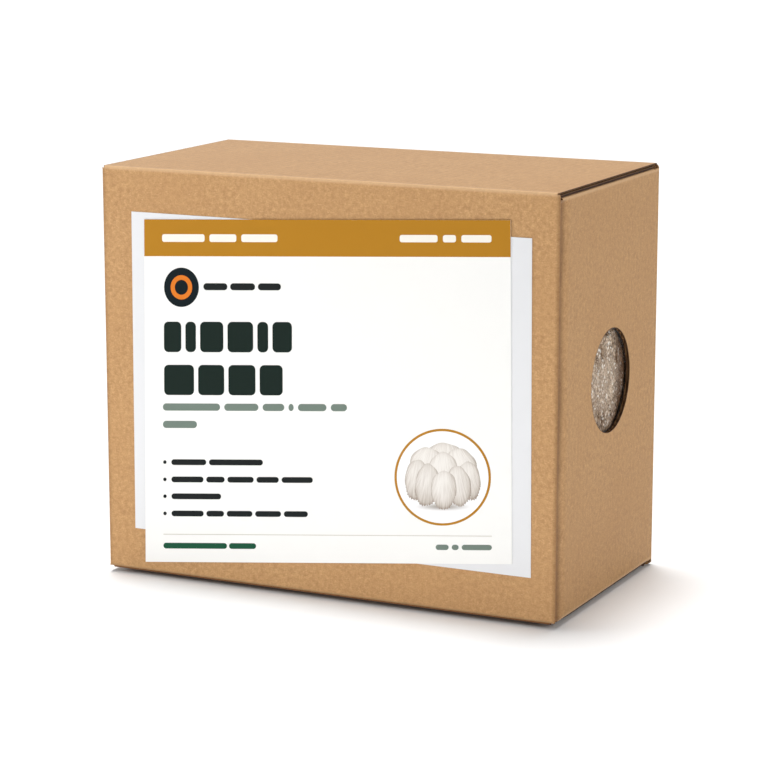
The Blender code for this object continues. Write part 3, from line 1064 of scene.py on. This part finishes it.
def lobe_shade(lobe, number, fx, fy):
    """The light on a lobe, and the direction of its spines, which spread from above it."""
    cx, cy, rx, ry, tilt = lobe
    px, py = radii(fx, fy)
    x, y = turned(px - cx, py - cy, -tilt)
    x, y = x / rx, y / ry
    bulge = np.sqrt(np.clip(1 - x ** 2 - y ** 2, 0, 1))
    light = 0.5 + 0.42 * bulge - 0.1 * x - 0.16 * y - 0.1 * (cy + 0.1) + 0.05 * (number % 3 - 1)
    rim = fading(1 - np.hypot(x, y), 0.2, 0, 0.16)
    light -= rim * smooth(0.5 + 0.8 * abs(x) + 0.5 * y)
    fall, run = np.arctan2(x, y + SPINE_SOURCE), np.hypot(x, y + SPINE_SOURCE)
    return {"shade": light, "uv": np.stack([fall * 2.2 + number * 3.7, run * 0.8], -1)}


def add_picture(page):
    """The picture in the ring: a shaggy mushroom of many lobes, with a soft shadow."""
    rng = random.Random(7)
    depth = page.face_y - SHADOW_DEPTH
    angles = np.linspace(0, math.tau, 64, False)
    across, down = SHADOW_REACH[0] * np.cos(angles), SHADOW_REACH[1] * np.sin(angles)
    outline = np.stack(spot(across, SHADOW_MIDDLE + down), -1)
    page.fan(spot(0, SHADOW_MIDDLE), outline, depth, "picture_shadow_ink", shadow_shade, 8)
    for n, lobe in enumerate(LOBES):
        page.fan(spot(*lobe[:2]), lobe_outline(lobe, rng), depth - (n + 1) * LOBE_STEP,
                 "picture_ink", partial(lobe_shade, lobe, n))


def add_print(face_y):
    """All print on the front label. Plain bars and blocks stand for lettering."""
    inks = [ink_graph(name, colour).material for name, colour in INKS.items()]
    inks += [picture_material(), shadow_material()]
    page = Print(face_y, inks)
    for left, top, right, low, ink in RECTANGLES:
        page.shape([(left, top), (right, top), (right, low), (left, low)], ink)
    for line in BARS:
        page.bars(*line)
    for row in DOT_ROWS:
        page.shape(circle((DOT_LEFT, row), DOT_RADIUS, 24), "near_black_ink")
    page.shape(circle(DISC_CENTRE, DISC_RADIUS), "disc_ink")
    page.ring(DISC_CENTRE, *DISC_RING, "orange_ink", 2, 96)
    page.ring(RING_CENTRE, RING_RADIUS, RING_WIDTH, "gold_ink")
    page.shape(circle(RING_CENTRE, PICTURE_RADIUS), "picture_white")
    add_picture(page)
    printed = page.soup.build("label_print", inks)
    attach(printed, "carton")


def add_labels():
    """The plain backing label and the printed one, stuck a little crooked over it."""
    backing_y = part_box("backing_label")[0].y + BACKING_INSET
    printed_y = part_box("printed_label")[0].y + 2 * INK + INK_INSET
    plain = paper_material("backing_paper", (0.765, 0.77, 0.785))
    cream = paper_material("label_paper", (0.905, 0.9, 0.875))
    backing = label_sheet("plain_label", BACKING_CORNERS, backing_y, plain)
    printed = label_sheet("front_label", PRINTED_CORNERS, printed_y, cream)
    add_print(printed_y)
    return {"backing_label": backing, "printed_label": printed}


# Inside

def rounded_box(low, high, rounding, step):
    """Points, outward directions and quads of a closed box with round edges."""
    low, high = np.array(low), np.array(high)
    counts = np.round((high - low) / step).astype(int)
    cells, faces, count = [], [], 0
    for axis in range(3):
        a, b = (axis + 1) % 3, (axis + 2) % 3
        for end in (0, counts[axis]):
            side = np.zeros((counts[a] + 1, counts[b] + 1, 3), int)
            side[..., axis] = end
            side[..., a], side[..., b] = np.indices(side.shape[:2])
            quads = grid_faces(*side.shape[:2]) + count
            faces.append(quads if end else quads[:, ::-1])
            cells.append(side.reshape(-1, 3))
            count += len(cells[-1])
    cells, shared = np.unique(np.concatenate(cells), axis=0, return_inverse=True)
    points = low + (high - low) * cells / counts
    core = np.clip(points, low + rounding, high - rounding)
    out = points - core
    out /= np.linalg.norm(out, axis=1)[:, None]
    return core + out * rounding, out, shared.ravel()[np.concatenate(faces)]


def window_dent(points):
    """How far the skins of the block and the bag stand back where the plug is."""
    away = np.hypot(points[:, 1] - WINDOW_CENTRE[0], points[:, 2] - WINDOW_CENTRE[1])
    return np.where(points[:, 0] > 0, fading(away, *WINDOW_DENT), 0)


def add_block(substrate):
    """The growing block, with the part that swells into the window."""
    low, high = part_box("substrate_block")
    points, out, faces = rounded_box(low, high, BLOCK_ROUNDING, BLOCK_STEP)
    relief = sum(height * lumps(points, *kind) for height, *kind in BLOCK_LUMPS)
    soup = Soup()
    soup.add(points + out * (relief - BLOCK_INSET - window_dent(points))[:, None], faces)
    surface, deep, pale = plug_surface()
    vertices, faces = plug_solid(surface)
    # The solid behind the skin gets full painted shade and no painted light.
    rest = np.ones(len(vertices) - deep.size)
    soup.add(vertices, faces, deep=np.append(deep, rest), pale=np.append(pale, 0 * rest))
    return soup.build("growing_block", [substrate], 60)


def plug_surface():
    """The block's skin behind the window, by sector and ring, with each point's painted shade and
    painted light.
    """
    angles = np.linspace(0, math.tau, PLUG_SECTORS, endpoint=False)
    share = np.linspace(0, 1, PLUG_RINGS + 1)[1:] ** 0.85
    a, r = np.meshgrid(angles, share, indexing="ij")
    across, up = r * np.cos(a), r * np.sin(a)
    y, z = PLUG_RADIUS * across, PLUG_RADIUS * up
    fall = 1.5 * MM * smooth((across - 0.05) / 0.95) + 1.1 * MM * up ** 2
    x = PLUG_CREST - fall - 0.35 * MM * smooth((r - 0.9) / 0.1)
    places = np.stack([x, y, z], -1)
    for inset, height, *kind in PLUG_LUMPS:
        x = x - inset - height * lumps(places, *kind)
    hollow = np.zeros(x.shape)
    for by, bz, ry, rz, depth in BLISTERS:
        away = np.hypot((y - by * MM) / (ry * MM), (z - bz * MM) / (rz * MM))
        brim = 0.35 * abs(depth) * np.exp(-((away - 1.5) / 0.35) ** 2)
        hollow += MM * (depth * np.exp(-away ** 2) - brim)
    x = np.minimum(x - hollow, PLUG_CREST)
    # Painted shade towards the plug's far side and its bottom and in the blisters' hollows; painted
    # light in its middle, outside the blisters.
    shade = 0.95 * smooth((across + 0.12 * abs(up) - 0.04) / 0.84) + 0.35 * smooth((-up - 0.15) / 0.7)
    deep = np.clip(hollow / MM, 0, 0.8) + shade
    pale = np.exp(-((y + 4 * MM) / (13 * MM)) ** 2 - ((z - 1 * MM) / (10 * MM)) ** 2)
    surface = np.stack([x, y + WINDOW_CENTRE[0], z + WINDOW_CENTRE[1]], -1)
    return surface, np.clip(deep, 0, 1), pale * (hollow < 0.2 * MM)


def plug_solid(surface):
    """A closed solid behind the plug's skin."""
    sectors, rings = surface.shape[:2]
    count = sectors * rings
    rim = surface[:, -1].copy()
    rim[:, 0] = PLUG_BACK
    hubs = [(x, *WINDOW_CENTRE) for x in (surface[:, 0, 0].mean(), PLUG_BACK)]
    faces = grid_faces(sectors, rings, closed_u=1)[:, ::-1].tolist()
    for i in range(sectors):
        j = (i + 1) % sectors
        faces.append([i * rings + rings - 1, count + i, count + j, j * rings + rings - 1])
        faces.append([count + sectors, i * rings, j * rings])
        faces.append([count + sectors + 1, count + j, count + i])
    return np.concatenate([surface.reshape(-1, 3), rim, hubs]), faces


def add_bag(film):
    """The film bag: a creased skin round the block, and its top rolled flat."""
    low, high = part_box("grow_bag")
    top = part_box("filter_patch")[0].z - BAG_GAP
    points, out, faces = rounded_box(low, (*high[:2], top), BLOCK_ROUNDING + 0.5 * MM, BAG_STEP)
    creases = abs(lumps(points * np.array([0.4, 1, 0.7]), 22 * MM, 3, 8.8))
    relief = 0.9 * MM * smooth(1 - creases * 3) - BAG_INSET - window_dent(points)
    points = points + out * relief[:, None]
    soup = Soup()
    soup.add(points, faces)
    soup.add(points - out * FILM, faces[:, ::-1])
    add_roll(soup, top, high.z)
    return soup.build("bag_film", [film], 60)


def flattened(x, power):
    """A sine or cosine brought closer to 1 or -1, which flattens a round path."""
    return np.sign(x) * abs(x) ** power


def add_roll(soup, low, high):
    """The bag's gathered top, rolled flat: a flattened spiral of film along X."""
    turn = np.arange(ROLL_TURNS * ROLL_STEPS + 1) / ROLL_STEPS
    angle = math.tau * turn
    shrink = 1 - turn / (ROLL_TURNS + 0.8)
    y = ROLL_MIDDLE + ROLL_WIDTH / 2 * (0.75 + 0.25 * shrink) * flattened(np.cos(angle), 0.35)
    z = (low + high) / 2 + (high - low) / 2 * shrink * flattened(np.sin(angle), 0.6)
    line = np.stack([y, z], -1)
    tangent = np.gradient(line, axis=0)
    normal = np.stack([tangent[:, 1], -tangent[:, 0]], -1)
    normal /= np.maximum(np.linalg.norm(normal, axis=1), 1e-9)[:, None]
    outer = np.zeros((ROLL_COLUMNS, len(line), 3))
    outer[..., 0] = np.linspace(-ROLL_LENGTH / 2, ROLL_LENGTH / 2, ROLL_COLUMNS)[:, None]
    outer[..., 1:] = line
    wave = lumps(outer * np.array([1, 0.3, 0.3]), 9 * MM, 2, 1.3)
    outer[..., 1:] += 0.35 * MM * wave[..., None] * normal
    outer[..., 2] = np.clip(outer[..., 2], low, high)
    inner = outer.copy()
    inner[..., 1:] -= FILM * normal
    soup.add(*sheet_solid(outer, inner))


def add_patch(fleece):
    """The bag's breathing patch, with a welded border."""
    low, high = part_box("filter_patch")
    side = high.x - low.x
    share = np.linspace(-0.5, 0.5, PATCH_STEPS)
    u, s = np.meshgrid(share, share, indexing="ij")
    reach, least = np.maximum(abs(u), abs(s)), np.minimum(abs(u), abs(s))
    corner = PATCH_CORNER / side
    cornered = smooth((reach - 0.5 + corner) / corner) * smooth((least - 0.5 + corner) / corner)
    pull = 1 - 0.28 * cornered * (1 - reach / np.hypot(u, s))
    edge = (0.5 - reach) * side
    border = smooth(edge / MM) - smooth((edge - PATCH_BORDER) / MM)
    x, y = (low.x + high.x) / 2 + u * pull * side, (low.y + high.y) / 2 + s * pull * side
    outer = np.stack([x, y, high.z - PATCH_WELD * border], -1)
    inner = np.stack([x, y, np.full(x.shape, low.z)], -1)
    soup = Soup()
    soup.add(*sheet_solid(outer, inner))
    return soup.build("bag_patch", [fleece])


# Stage, light and camera

def add_light(name, kind, power, toward, place, size):
    """A sun, or a soft rectangle of light."""
    data = bpy.data.lights.new(name, kind)
    data.energy = power
    if kind == "AREA":
        data.shape = "RECTANGLE"
    for key, value in size.items():
        setattr(data, key, value)
    light = bpy.data.objects.new(name, data)
    bpy.context.scene.collection.objects.link(light)
    light.location = place
    light.rotation_euler = Vector(toward).to_track_quat("Z", "Y").to_euler()
    light.visible_camera = False


def add_stage():
    """Pale floor, light and camera."""
    bpy.ops.mesh.primitive_plane_add(size=FLOOR_SIZE, location=(0, 0, -FLOOR_GAP))
    floor = bpy.context.object
    floor.name = "floor"
    floor.data.materials.append(Graph("floor_white", (0.9, 0.9, 0.9), 0.9, 0.1).material)

    scene = bpy.context.scene
    scene.view_settings.view_transform = "Standard"
    world = bpy.data.worlds.new("studio")
    scene.world = world
    world.use_nodes = True
    background = world.node_tree.nodes["Background"]
    background.inputs["Color"].default_value = (1, 1, 1, 1)
    background.inputs["Strength"].default_value = WORLD_LIGHT

    for name, light in LIGHTS.items():
        add_light(name, *light)

    camera = bpy.data.objects.new("camera", bpy.data.cameras.new("camera"))
    scene.collection.objects.link(camera)
    camera.location = CAMERA_PLACE
    camera.rotation_euler = (math.pi / 2 - CAMERA_PITCH, 0, CAMERA_YAW)
    camera.data.lens = CAMERA_LENS
    camera.data.sensor_width = CAMERA_SENSOR
    camera.data.clip_start, camera.data.clip_end = CAMERA_CLIP
    scene.camera = camera


def main():
    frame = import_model()
    bodies = frame["record"]["behaviour"]["bodies"]
    body_of = {node: body for body, nodes in bodies.items() for node in nodes}
    pieces = {}
    for add in (add_front_and_back, add_sides, add_seam, add_lid, add_bottom, add_dust_flaps):
        pieces.update(add())
    pieces.update(add_labels())
    pieces["substrate_block"] = add_block(substrate_material())
    pieces["grow_bag"] = add_bag(film_material())
    pieces["filter_patch"] = add_patch(fleece_material())
    for node, piece in pieces.items():
        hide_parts(node)
        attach(piece, body_of[node])
    add_lid_crease()
    add_stage()


main()
